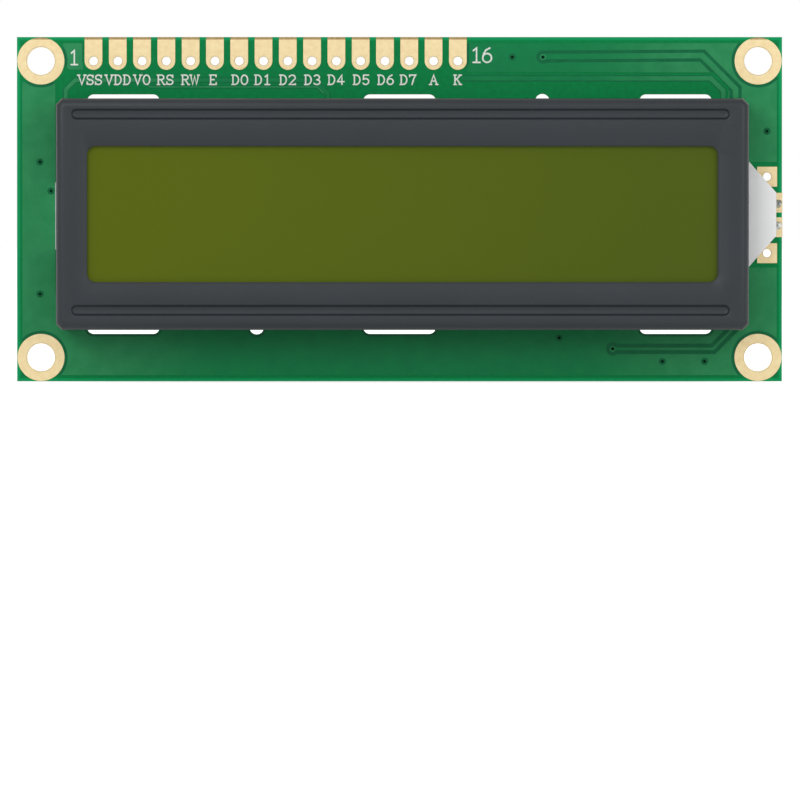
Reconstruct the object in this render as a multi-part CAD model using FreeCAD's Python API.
"""Character display module: two rows of sixteen characters on a printed board, with a side light.

Millimetres. X runs right and Z up as seen from the display side, and Y runs back through the
board. The origin is the centre of the four mounting holes, on the board's front face, so the
bezel and the glass lie at negative Y and the chips and resistors behind the board.
"""
import FreeCAD, Part
import math
import os

V = FreeCAD.Vector
REAR = V(0, 1, 0)

# Printed board
board_w = 80.0
board_h = 36.0
board_t = 1.6
copper_t = 0.05
small_hole_sides = 10
pad_hole_sides = 8
pad_end_sides = 4
ring_sides = 12
mount_hole_d = 3.0
mount_pad_d = 4.92
mount_inset = 2.5

# Header row along the top edge
pin_count = 16
pin_pitch = 2.54
pin_hole_d = 1.0
pin_first_inset = 8.0
pin_edge_inset = 2.5
pin_pad_w = 1.85

# Pressed steel bezel
bezel_left_gap = 4.25
bezel_right_gap = 3.65
bezel_top_gap = 6.47
bezel_bottom_gap = 5.43
bezel_depth = 7.1
sheet = 0.43
bend_r = 0.65
corner_notch = 0.62
window_end_margin = 3.25
window_side_margin = 4.975
window_corner_r = 0.9
bead_end_inset = 2.0
bead_side_inset = 1.85
bead_w = 1.1
bead_depth = 0.3
bead_draft = 0.12

# Tabs that pass through slots in the board and are twisted over behind it
tab_w = 7.4
tab_edge_inset = 11.1
tab_straight = 2.8
tab_bend_r = 1.83
tab_height = 1.75
tab_recess = 0.1
top_tab_angles = (54.0, 50.0, 44.0)
bottom_tab_angles = (52.0, 46.0, 58.0)
slot_clearance = 0.1
slot_w = 1.4
tab_pad_w = 7.0
tab_pad_h = 2.5
tab_pad_gap = 0.24
tooling_hole_d = 1.5
tooling_hole_shift = 0.5

# Display cell, from the front polariser back to the light
glass_t = 1.1
glass_end_gap = 0.72
glass_side_gap = 0.32
seal_t = 0.05
seal_w = 1.2
seal_inset = 0.3
polariser_t = 0.2
polariser_inset = 0.5
polariser_lap = 1.225
diffuser_t = 0.1
reflector_t = 0.15
reflector_inset = 1.2
strip_w = 1.8
strip_end_inset = 1.9
strip_side_inset = 0.1
strip_glass_gap = 0.5

# Moulded light guide and the lamp in its tongue
guide_side_inset = 0.1
guide_clearance = 0.25
tongue_root_h = 11.2
tongue_tip_h = 4.5
tongue_reach = 2.95
tongue_t = 3.0
tail_h = 7.0
tail_reach = 0.15
tail_drop = 0.18
opening_clearance = 0.15
lamp_l = 3.8
lamp_w = 1.5
lamp_t = 2.0
lamp_from_wall = 0.35
lamp_pocket_gap = 0.05
lamp_drop = 0.08
lead_w = 0.6
lead_t = 0.1
lead_end_inset = 0.3

# Plated pads at the right edge, on both faces
wire_pad = 2.08
wire_hole_d = 0.95
wire_pad_inset = 1.55
wire_pitch = 8.0
edge_pad_l = 1.64
edge_pad_h = 2.06
edge_pad_pitch = 2.57
lamp_hole_d = 0.85
lamp_hole_pad_d = 1.8
lamp_hole_inset = 4.1
lamp_hole_pitch = 2.55
edge_solder_t = 0.08
edge_solder_d = 1.5
edge_solder_h = 0.5

# Bare round targets behind the board
target_d = 1.02
left_target_inset = 2.3
left_target_drop = 8.01
right_target_inset = 4.1
right_target_rise = 7.6

# Epoxy over the two bonded chips. An outline is a circle made oval, three-lobed and square-shouldered,
# each by a wave whose height is a share of the radius and whose turn is in degrees
glob_h = 1.45
dome_rings = ((0.0, 1.0), (0.4, 0.93), (0.75, 0.74), (0.94, 0.44), (1.0, 0.18))
glob_sides = 28
drop_sides = 10
controller_glob_r = 6.92
controller_glob_shift = 0.03
controller_glob_waves = {"oval": 0.0412, "lobes": 0.0152, "shoulders": 0.0043}
controller_glob_turns = {"oval": -101.0, "lobes": -160.3, "shoulders": 75.0}
controller_glob_rise = 0.34
driver_glob_r = 5.72
driver_glob_shift = 1.16
driver_glob_waves = {"oval": 0.0392, "lobes": 0.0177, "shoulders": 0.0194}
driver_glob_turns = {"oval": 160.0, "lobes": -136.7, "shoulders": -32.1}
driver_glob_rise = 0.91
wave_counts = {"oval": 2, "lobes": 3, "shoulders": 4}
die_t = 0.4
controller_die = (4.6, 4.9)
driver_die = (3.9, 3.4)

# Chip resistors: length, width and height by size code
chip_sizes = {"0603": (1.6, 0.8, 0.45), "0805": (2.0, 1.25, 0.5)}
cap_l = 0.32
cap_t = 0.04
chip_pad_out = 0.5
chip_pad_in = 0.12
chip_pad_side = 0.06
fillet_share = 0.75
fillet_sag = 0.4
column_inset = 9.4
column_top_gap = 2.955
column_bottom_gap = 2.315
column_names = ("r1", "r2", "r3", "r4", "r5", "r7")
r6_from_column = 7.6
r6_rise = 4.815
r8_shift = 0.375
r8_drop = 5.6

# Places left without a component behind the board, set in from its edges
u3_right_inset = 7.94
u3_left_inset = 13.77
u3_pad_l = 1.95
u3_pad_w = 0.65
u3_pad_pitch = 1.27
capacitor_right_inset = 8.765
capacitor_left_inset = 11.13
capacitor_pad_l = 1.58
capacitor_pad_w = 1.36
c3_inset = 16.35
c3_pitch = 1.45
c3_pad_l = 0.83
c3_pad_w = 0.97
c3_rise = 2.595
jumper_inset = 8.25
jumper_pitch = 2.425
jumper_d = 1.46
jumper_gap = 0.12
jumper_solder_h = 0.32
# Bare board above, between and below the jumpers, U3, C1 and C2, as parts of what their pads leave free
right_column_gaps = (1.7, 0.91, 1.6, 2.1, 1.84)

# Places that follow from the sizes above
rear = board_t
rear_copper = board_t + copper_t
left_edge, right_edge = -board_w / 2, board_w / 2
bottom_edge, top_edge = -board_h / 2, board_h / 2
mount_x = board_w / 2 - mount_inset
mount_z = board_h / 2 - mount_inset
pin_xs = [left_edge + pin_first_inset + i * pin_pitch for i in range(pin_count)]
pin_z = top_edge - pin_edge_inset

bezel_left, bezel_right = left_edge + bezel_left_gap, right_edge - bezel_right_gap
bezel_bottom, bezel_top = bottom_edge + bezel_bottom_gap, top_edge - bezel_top_gap
bezel_w, bezel_h = bezel_right - bezel_left, bezel_top - bezel_bottom
bezel_x, bezel_z = (bezel_left + bezel_right) / 2, (bezel_bottom + bezel_top) / 2
bezel_front = -bezel_depth
bezel_inside = bezel_front + sheet
window_w, window_h = bezel_w - 2 * window_end_margin, bezel_h - 2 * window_side_margin
bead_l = bezel_w - 2 * bead_end_inset
bead_offset = bezel_h / 2 - bead_side_inset
top_wall_z = bezel_top - sheet / 2
bottom_wall_z = bezel_bottom + sheet / 2
slot_l = tab_w + 2 * slot_clearance
tab_xs = (left_edge + tab_edge_inset, 0.0, right_edge - tab_edge_inset)
top_tab_pad_z = top_wall_z - slot_w / 2 - tab_pad_gap - tab_pad_h / 2
bottom_tab_pad_z = bottom_wall_z + slot_w / 2 + tab_pad_gap + tab_pad_h / 2
tooling_hole_offset = tab_xs[2] / 2 + tooling_hole_shift

glass_w = bezel_w - 2 * sheet - 2 * glass_end_gap
front_glass_h = bezel_h - 2 * sheet - 2 * glass_side_gap
strip_l = glass_w - 2 * strip_end_inset
strip_offset = front_glass_h / 2 - strip_side_inset - strip_w / 2
rear_glass_h = 2 * strip_offset - strip_w - 2 * strip_glass_gap
guide_h = rear_glass_h - 2 * guide_side_inset
glass_front = bezel_inside + bead_depth
seal_front = glass_front + glass_t
rear_glass_front = seal_front + seal_t
rear_polariser_front = rear_glass_front + glass_t
diffuser_front = rear_polariser_front + polariser_t
guide_front = diffuser_front + diffuser_t
guide_rear = -reflector_t
tongue_front = guide_rear - tongue_t
tongue_tip_x = bezel_right + tongue_reach

lamp_mid_z = bezel_z - lamp_drop
lamp_left = bezel_right + lamp_from_wall
lamp_right = lamp_left + lamp_w
wire_pad_x = right_edge - wire_pad_inset
wire_pad_z = (lamp_mid_z + wire_pitch / 2, lamp_mid_z - wire_pitch / 2)
edge_pad_z = (lamp_mid_z + edge_pad_pitch / 2, lamp_mid_z - edge_pad_pitch / 2)
lamp_hole_x = right_edge - lamp_hole_inset
lamp_hole_z = (lamp_mid_z + lamp_hole_pitch / 2, lamp_mid_z - lamp_hole_pitch / 2)
targets = ((left_edge + left_target_inset, top_edge - left_target_drop),
           (right_edge - right_target_inset, bottom_edge + right_target_rise))

top_pad_edge = top_tab_pad_z - tab_pad_h / 2
column_high = top_pad_edge - column_top_gap
bottom_pad_edge = bottom_tab_pad_z + tab_pad_h / 2
column_low = bottom_pad_edge + column_bottom_gap
column_pitch = (column_high - column_low) / (len(column_names) - 1)
column_x = left_edge + column_inset
r6_x = column_x + r6_from_column
r8_x = (tooling_hole_offset + tab_xs[2] - slot_l / 2) / 2 + r8_shift
resistors = [(name, column_x, column_low + i * column_pitch, "0603")
             for i, name in enumerate(column_names)]
resistors += [("r6", r6_x, bottom_pad_edge + r6_rise, "0603"),
              ("r8", r8_x, top_edge - r8_drop, "0805")]

r6_end = r6_x + chip_sizes["0603"][0] / 2 + chip_pad_out
controller_glob_at = ((r6_end - tab_pad_w / 2) / 2 + controller_glob_shift,
                      bezel_z + controller_glob_rise)
driver_glob_at = (tab_xs[2] / 2 - driver_glob_shift, bezel_z + driver_glob_rise)


def spread(high, low, heights, gaps):
    """Middles of things stacked from high to low, with the free height shared out as the gaps are."""
    stretch = (high - low - sum(heights)) / sum(gaps)
    middles, edge = [], high
    for height, gap in zip(heights, gaps):
        edge -= gap * stretch
        middles.append(edge - height / 2)
        edge -= height
    return middles


u3_h = 3 * u3_pad_pitch + u3_pad_w
jumper_z, u3_z, c1_z, c2_z = spread(
    top_pad_edge, bottom_pad_edge,
    (jumper_d, u3_h, capacitor_pad_w, capacitor_pad_w), right_column_gaps)
jumper_x = [right_edge - jumper_inset - i * jumper_pitch for i in range(3)]
u3_column_x = (right_edge - u3_right_inset, right_edge - u3_left_inset)
capacitor_x = (right_edge - capacitor_right_inset, right_edge - capacitor_left_inset)
c3_x = (left_edge + c3_inset, left_edge + c3_inset + c3_pitch)
c3_z = bottom_pad_edge + c3_rise


def slab(x0, x1, y0, y1, z0, z1):
    """A block between two corners."""
    return Part.makeBox(x1 - x0, y1 - y0, z1 - z0, V(x0, y0, z0))


def plate(x, z, w, h, y0, y1):
    """A block w wide and h high about the point x, z."""
    return slab(x - w / 2, x + w / 2, y0, y1, z - h / 2, z + h / 2)


def rod(x, z, d, y0, y1):
    """A cylinder along Y."""
    return Part.makeCylinder(d / 2, y1 - y0, V(x, y0, z), REAR)


def round_points(x, z, r, sides, start=0.0, turn=360.0):
    """Points on a circle, or on the part of it that begins at start and goes on for turn degrees."""
    steps = sides if turn == 360.0 else sides + 1
    angles = [math.radians(start + turn * i / sides) for i in range(steps)]
    return [(x + r * math.cos(a), z + r * math.sin(a)) for a in angles]


def around(x, z, d, sides):
    """A regular polygon that a circle of diameter d just fits in."""
    return round_points(x, z, d / 2 / math.cos(math.pi / sides), sides, 180.0 / sides)


def at_depth(points, y):
    return [V(x, y, z) for x, z in points]


def prism(points, y0, y1):
    """A straight-sided solid whose outline is a list of x, z points."""
    corners = at_depth(points, y0)
    return Part.Face(Part.makePolygon(corners + corners[:1])).extrude(V(0, y1 - y0, 0))


def slot_points(x, z, length, width):
    """A slot's outline with its round ends in few sides."""
    run, r = length / 2 - width / 2, width / 2
    right = round_points(x + run, z, r, small_hole_sides // 2, -90, 180)
    left = round_points(x - run, z, r, small_hole_sides // 2, 90, 180)
    return right + left


def stacked(rings):
    """A solid of flat facets through closed rings of points, each ring with as many as the last."""
    faces = [Part.Face(Part.makePolygon(ring + ring[:1])) for ring in (rings[0], rings[-1])]
    for low, high in zip(rings, rings[1:]):
        for i in range(len(low)):
            j = (i + 1) % len(low)
            faces.append(Part.Face(Part.makePolygon([low[i], low[j], high[j], high[i], low[i]])))
    return Part.Solid(Part.Shell(faces))


def rounded_front(block, y, r):
    """Rounds the edges of a block that lie in its front face."""
    edges = [e for e in block.Edges if all(abs(v.Y - y) < 1e-6 for v in e.Vertexes)]
    return block.makeFillet(r, edges)


def joined(shapes):
    """One solid from shapes that touch or overlap."""
    return shapes[0].multiFuse(shapes[1:]).removeSplitter()


def make_board():
    """The board, with round walls where pins, wires and screws go and few sides on its other holes."""
    y0, y1 = -1, rear + 1
    holes = [rod(x, z, mount_hole_d, y0, y1)
             for x in (-mount_x, mount_x) for z in (-mount_z, mount_z)]
    holes += [rod(x, pin_z, pin_hole_d, y0, y1) for x in pin_xs]
    holes += [rod(wire_pad_x, z, wire_hole_d, y0, y1) for z in wire_pad_z]
    outlines = [slot_points(x, z, slot_l, slot_w) for x in tab_xs for z in (top_wall_z, bottom_wall_z)]
    outlines += [around(tooling_hole_offset, top_wall_z, tooling_hole_d, small_hole_sides)]
    outlines += [around(-tooling_hole_offset, bottom_wall_z, tooling_hole_d, small_hole_sides)]
    outlines += [around(lamp_hole_x, z, lamp_hole_d, small_hole_sides) for z in lamp_hole_z]
    holes += [prism(outline, y0, y1) for outline in outlines]
    return plate(0, 0, board_w, board_h, 0, rear).cut(Part.makeCompound(holes))


def faced(outline, hole):
    """The same pad on both faces of the board, with a hole through it."""
    room = prism(hole, -1, rear + 1)
    return [prism(outline, y, y + copper_t).cut(room) for y in (-copper_t, rear)]


def header_pads(x):
    """Pads that run from the board's edge to a round end below the hole."""
    r = pin_pad_w / 2
    outline = [(x + r, top_edge), (x - r, top_edge)]
    outline += round_points(x, pin_z, r, pad_end_sides, 180, 180)
    return faced(outline, around(x, pin_z, pin_hole_d, pad_hole_sides))


def round_pads(x, z, pad_d, hole_d):
    return faced(round_points(x, z, pad_d / 2, ring_sides, 180 / ring_sides),
                 around(x, z, hole_d, ring_sides))


def square_pads(x, z, side, hole_d):
    corners = [(x + i * side / 2, z + j * side / 2) for i, j in ((-1, -1), (1, -1), (1, 1), (-1, 1))]
    return faced(corners, around(x, z, hole_d, small_hole_sides))


def rear_pad(x, z, w, h):
    return plate(x, z, w, h, rear, rear_copper)


def edge_pad(z):
    """Copper that wraps the board's right edge."""
    x0 = right_edge - edge_pad_l
    x1 = right_edge + copper_t
    low, high = z - edge_pad_h / 2, z + edge_pad_h / 2
    wrap = slab(x0, x1, -copper_t, rear_copper, low, high)
    return wrap.cut(slab(x0 - 1, right_edge, 0, rear, low - 1, high + 1))


def bead(z):
    """A groove pressed into the bezel's face: what it adds behind and what it takes from the front."""
    def tapered(length, width, y):
        floor = slot_points(bezel_x, z, length - 2 * bead_draft, width - 2 * bead_draft)
        return stacked([at_depth(slot_points(bezel_x, z, length, width), y),
                        at_depth(floor, y + bead_depth)])

    bulge = tapered(bead_l + 4 * bead_draft, bead_w + 4 * bead_draft, bezel_inside)
    return bulge, tapered(bead_l, bead_w, bezel_front)


def tab(x, z, root_side, swing_side, angle):
    """A tab down through its slot, slit behind the board, with the free part twisted over its pad.

    root_side says at which end along X the standing part stays joined to the tab, and swing_side
    says which way along Z the free part turns.
    """
    base = plate(x, z, tab_w, sheet, -sheet, rear - tab_recess)
    turn = math.radians(angle)
    start = -tab_w / 2
    bend_at = start + tab_straight
    leaf = tab_w - tab_straight - tab_bend_r * turn
    outer, inner = tab_bend_r + sheet / 2, tab_bend_r - sheet / 2

    def point(along, across, y=0.0):
        return V(x + root_side * -along, y, z + swing_side * across)

    def on_bend(r, a):
        return bend_at + r * math.sin(a), tab_bend_r - r * math.cos(a)

    def past_bend(r, run):
        along, across = on_bend(r, turn)
        return along + run * math.cos(turn), across + run * math.sin(turn)

    foot = rear_copper
    profile = Part.Wire([
        Part.makeLine(point(start, -sheet / 2, foot), point(bend_at, -sheet / 2, foot)),
        Part.Arc(point(*on_bend(outer, 0), foot), point(*on_bend(outer, turn / 2), foot),
                 point(*on_bend(outer, turn), foot)).toShape(),
        Part.makeLine(point(*past_bend(outer, 0), foot), point(*past_bend(outer, leaf), foot)),
        Part.makeLine(point(*past_bend(outer, leaf), foot), point(*past_bend(inner, leaf), foot)),
        Part.makeLine(point(*past_bend(inner, leaf), foot), point(*past_bend(inner, 0), foot)),
        Part.Arc(point(*on_bend(inner, turn), foot), point(*on_bend(inner, turn / 2), foot),
                 point(*on_bend(inner, 0), foot)).toShape(),
        Part.makeLine(point(bend_at, sheet / 2, foot), point(start, sheet / 2, foot)),
        Part.makeLine(point(start, sheet / 2, foot), point(start, -sheet / 2, foot)),
    ])
    standing = Part.Face(profile).extrude(V(0, tab_height, 0))
    root_mid = x + root_side * -(start + bend_at) / 2
    root = plate(root_mid, z, tab_straight, sheet, rear - tab_recess, foot)
    return [base, root, standing]


def make_bezel():
    outer = plate(bezel_x, bezel_z, bezel_w, bezel_h, bezel_front, 0)
    inner = plate(bezel_x, bezel_z, bezel_w - 2 * sheet, bezel_h - 2 * sheet, bezel_inside, 1)
    outer = rounded_front(outer, bezel_front, bend_r)
    inner = rounded_front(inner, bezel_inside, bend_r - sheet)
    beads = [bead(bezel_z + side * bead_offset) for side in (-1, 1)]
    shell = outer.cut(inner).multiFuse([bulge for bulge, recess in beads])

    window = plate(bezel_x, bezel_z, window_w, window_h, bezel_front - 1, bezel_inside + 1)
    upright = [e for e in window.Edges if abs(abs(e.tangentAt(e.FirstParameter).y) - 1) < 1e-6]
    cuts = [window.makeFillet(window_corner_r, upright)]
    cuts += [recess for bulge, recess in beads]
    for side_x in (-1, 1):
        for side_z in (-1, 1):
            corner_x = bezel_x + side_x * bezel_w / 2
            corner_z = bezel_z + side_z * bezel_h / 2
            cuts.append(plate(corner_x, corner_z, 2 * corner_notch, 2 * corner_notch,
                              bezel_front - 1, 1))
    cuts.append(slab(bezel_right - bend_r, bezel_right + 1,
                     tongue_front - opening_clearance, 1,
                     bezel_z - tongue_root_h / 2 - opening_clearance,
                     bezel_z + tongue_root_h / 2 + opening_clearance))
    tail_z = bezel_z - tail_drop
    cuts.append(slab(bezel_left - 1, bezel_left + bend_r,
                     tongue_front - opening_clearance, 1,
                     tail_z - tail_h / 2 - opening_clearance,
                     tail_z + tail_h / 2 + opening_clearance))
    shell = shell.cut(Part.makeCompound(cuts))

    pieces = [shell]
    for x, angle in zip(tab_xs, top_tab_angles):
        pieces += tab(x, top_wall_z, -1, -1, angle)
    for x, angle in zip(tab_xs, bottom_tab_angles):
        pieces += tab(x, bottom_wall_z, 1, 1, angle)
    return joined(pieces)


def cell_sheet(w, h, front, t):
    """A flat sheet of the display, centred on the bezel."""
    return plate(bezel_x, bezel_z, w, h, front, front + t)


def make_seal():
    ring = cell_sheet(glass_w - 2 * seal_inset, rear_glass_h - 2 * seal_inset, seal_front, seal_t)
    room = cell_sheet(glass_w - 2 * seal_inset - 2 * seal_w, rear_glass_h - 2 * seal_inset - 2 * seal_w,
                      seal_front - 1, seal_t + 2)
    return ring.cut(room)


def make_light_guide():
    """A block under the glass, with a tapered tongue to the right and a short tail to the left."""
    left = bezel_left + sheet + guide_clearance
    right = bezel_right - sheet - guide_clearance
    block = slab(left, right, guide_front, guide_rear, bezel_z - guide_h / 2, bezel_z + guide_h / 2)
    root, tip = tongue_root_h / 2, tongue_tip_h / 2
    tongue = prism([
        (right - 1, bezel_z - root),
        (bezel_right, bezel_z - root),
        (tongue_tip_x, bezel_z - tip),
        (tongue_tip_x, bezel_z + tip),
        (bezel_right, bezel_z + root),
        (right - 1, bezel_z + root),
    ], tongue_front, guide_rear)
    tail = slab(bezel_left - tail_reach, left + 1, tongue_front, guide_rear,
                bezel_z - tail_drop - tail_h / 2, bezel_z - tail_drop + tail_h / 2)
    pocket = slab(lamp_left - lamp_pocket_gap, lamp_right + lamp_pocket_gap,
                  guide_rear - lamp_t - lamp_pocket_gap, 1,
                  lamp_mid_z - lamp_l / 2 - lamp_pocket_gap, lamp_mid_z + lamp_l / 2 + lamp_pocket_gap)
    return joined([block, tongue, tail]).cut(pocket)


def make_lamp():
    return slab(lamp_left, lamp_right, guide_rear - lamp_t, guide_rear,
                lamp_mid_z - lamp_l / 2, lamp_mid_z + lamp_l / 2)


def make_lamp_lead(z):
    return slab(lamp_left + lamp_w / 2, right_edge - lead_end_inset,
                -copper_t - lead_t, -copper_t, z - lead_w / 2, z + lead_w / 2)


def dome(outline, at, h, y, direction):
    """A drop on the face at y: its outline shrinks towards the crown, h above the face."""
    rings = []
    for share, scale in dome_rings:
        points = [(at[0] + scale * (px - at[0]), at[1] + scale * (pz - at[1])) for px, pz in outline]
        rings.append(at_depth(points, y + direction * share * h))
    return stacked(rings)


def drop_of_solder(x, z, d, h, y, direction):
    return dome(round_points(x, z, d / 2, drop_sides), (x, z), h, y, direction)


def make_edge_solder(z):
    """Solder over an edge pad: a drop on each face and a film round the edge."""
    outer = right_edge + copper_t + edge_solder_t
    drop_x = outer - edge_solder_d / 2
    low, high = z - edge_solder_d / 3, z + edge_solder_d / 3
    lip = edge_solder_t + copper_t
    pieces = [drop_of_solder(drop_x, z, edge_solder_d, edge_solder_h, -copper_t, -1),
              drop_of_solder(drop_x, z, edge_solder_d, edge_solder_h, rear_copper, 1),
              slab(outer - edge_solder_t, outer, -copper_t, rear_copper, low, high),
              slab(right_edge - lip, outer, -copper_t - lip, -copper_t, low, high),
              slab(right_edge - lip, outer, rear_copper, rear_copper + lip, low, high)]
    tongue_room = slab(bezel_right, tongue_tip_x, -1, 0, z - edge_pad_h, z + edge_pad_h)
    return joined(pieces).cut(Part.makeCompound([make_lamp_lead(z), tongue_room]))


def glob(at, radius, waves, turns, die_size):
    """A drop of epoxy over a bonded chip, with the chip's room left in it."""
    outline = []
    for i in range(glob_sides):
        a = 2 * math.pi * i / glob_sides
        r = radius * (1 + sum(share * math.cos(wave_counts[shape] * a + math.radians(turns[shape]))
                              for shape, share in waves.items()))
        outline.append((at[0] + r * math.cos(a), at[1] + r * math.sin(a)))
    return dome(outline, at, glob_h, rear, 1).cut(die(at, die_size))


def die(at, size):
    return plate(at[0], at[1], size[0], size[1], rear, rear + die_t)


def chip_parts(x, z, size):
    """A chip resistor lying along X: its body, its two end caps, its pads and its solder."""
    length, width, height = chip_sizes[size]
    y0, y1 = rear_copper, rear_copper + height
    body = slab(x - length / 2 + cap_t, x + length / 2 - cap_t, y0 + cap_t, y1 - cap_t,
                z - width / 2, z + width / 2)
    caps, pads, solder = [], [], []
    for side in (-1, 1):
        end = x + side * length / 2
        inner = end - side * cap_l
        cap = slab(min(end, inner), max(end, inner), y0, y1, z - width / 2, z + width / 2)
        caps.append(cap.cut(body))
        pad_in, pad_out = inner - side * chip_pad_in, end + side * chip_pad_out
        pads.append(slab(min(pad_in, pad_out), max(pad_in, pad_out), rear, rear_copper,
                         z - width / 2 - chip_pad_side, z + width / 2 + chip_pad_side))
        corner, foot = (end, y0), (pad_out, y0)
        sag = (end + side * fillet_sag * chip_pad_out, y0 + fillet_sag * fillet_share * height)
        top = (end, y0 + fillet_share * height)
        outline = [V(px, py, z - width / 2) for px, py in (corner, foot, sag, top, corner)]
        solder.append(Part.Face(Part.makePolygon(outline)).extrude(V(0, 0, width)))
    return body, caps, pads, solder


def jumper_halves(x):
    """A round pad split by an upright gap."""
    r = jumper_d / 2
    edge = math.degrees(math.acos(jumper_gap / 2 / r))
    return [prism(round_points(x, jumper_z, r, ring_sides // 2, start, 2 * edge), rear, rear_copper)
            for start in (-edge, 180 - edge)]


def write(name, shapes):
    """Writes one node as a STEP file and prints what is in it."""
    solids = [s for shape in shapes for s in shape.Solids]
    whole = solids[0] if len(solids) == 1 else Part.makeCompound(solids)
    sound = all(s.isValid() for s in solids)
    whole.exportStep("parts/" + name + ".step")
    print("%-24s solids %2d  sound %s  volume %.3f mm3" % (name, len(solids), sound, whole.Volume))


os.makedirs("parts", exist_ok=True)

write("circuit_board", [make_board()])
write("bezel", [make_bezel()])

write("front_polariser", [cell_sheet(window_w + 2 * polariser_lap, window_h + 2 * polariser_lap,
                                     glass_front - polariser_t, polariser_t)])
write("front_glass", [cell_sheet(glass_w, front_glass_h, glass_front, glass_t)])
write("cell_seal", [make_seal()])
write("rear_glass", [cell_sheet(glass_w, rear_glass_h, rear_glass_front, glass_t)])
write("rear_polariser", [cell_sheet(glass_w - 2 * polariser_inset, rear_glass_h - 2 * polariser_inset,
                                    rear_polariser_front, polariser_t)])
write("diffuser_sheet", [cell_sheet(glass_w - 2 * polariser_inset, rear_glass_h - 2 * polariser_inset,
                                    diffuser_front, diffuser_t)])
write("light_guide", [make_light_guide()])
write("reflector_sheet", [slab(bezel_left + sheet + reflector_inset, bezel_right - sheet - reflector_inset,
                               -reflector_t, 0, bezel_z - guide_h / 2, bezel_z + guide_h / 2)])
write("backlight_lamp", [make_lamp()])
write("backlight_leads", [make_lamp_lead(z) for z in edge_pad_z])
for place, side in (("top", 1), ("bottom", -1)):
    write("elastomer_strip_" + place, [plate(bezel_x, bezel_z + side * strip_offset, strip_l, strip_w,
                                             seal_front, 0)])

write("controller_glob", [glob(controller_glob_at, controller_glob_r, controller_glob_waves,
                               controller_glob_turns, controller_die)])
write("driver_glob", [glob(driver_glob_at, driver_glob_r, driver_glob_waves,
                           driver_glob_turns, driver_die)])
write("controller_die", [die(controller_glob_at, controller_die)])
write("driver_die", [die(driver_glob_at, driver_die)])

chip_pads, chip_solder = [], []
for name, x, z, size in resistors:
    body, caps, pads, solder = chip_parts(x, z, size)
    write("resistor_" + name, [body])
    write("resistor_" + name + "_caps", caps)
    chip_pads += pads
    chip_solder += solder
write("resistor_pads", chip_pads)
write("resistor_solder", chip_solder)

write("header_pads", [pad for x in pin_xs for pad in header_pads(x)])
write("mounting_hole_pads", [pad for x in (-mount_x, mount_x) for z in (-mount_z, mount_z)
                             for pad in round_pads(x, z, mount_pad_d, mount_hole_d)])
write("bezel_tab_pads", [rear_pad(x, z, tab_pad_w, tab_pad_h)
                         for x in tab_xs for z in (top_tab_pad_z, bottom_tab_pad_z)])
write("backlight_wire_pads", [pad for z in wire_pad_z
                              for pad in square_pads(wire_pad_x, z, wire_pad, wire_hole_d)])
write("lamp_edge_pads", [edge_pad(z) for z in edge_pad_z])
write("lamp_hole_pads", [pad for z in lamp_hole_z
                         for pad in round_pads(lamp_hole_x, z, lamp_hole_pad_d, lamp_hole_d)])
write("lamp_edge_solder", [make_edge_solder(z) for z in edge_pad_z])
write("u3_pads", [rear_pad(x, u3_z + (1.5 - i) * u3_pad_pitch, u3_pad_l, u3_pad_w)
                  for x in u3_column_x for i in range(4)])
for name, z in (("c1_pads", c1_z), ("c2_pads", c2_z)):
    write(name, [rear_pad(x, z, capacitor_pad_l, capacitor_pad_w) for x in capacitor_x])
write("c3_pads", [rear_pad(x, c3_z, c3_pad_l, c3_pad_w) for x in c3_x])
write("jumper_pads", [half for x in jumper_x for half in jumper_halves(x)])
write("jumper_solder", [drop_of_solder(jumper_x[0], jumper_z, jumper_d, jumper_solder_h, rear_copper, 1)])
write("target_dots", [prism(round_points(x, z, target_d / 2, small_hole_sides), rear, rear_copper)
                      for x, z in targets])
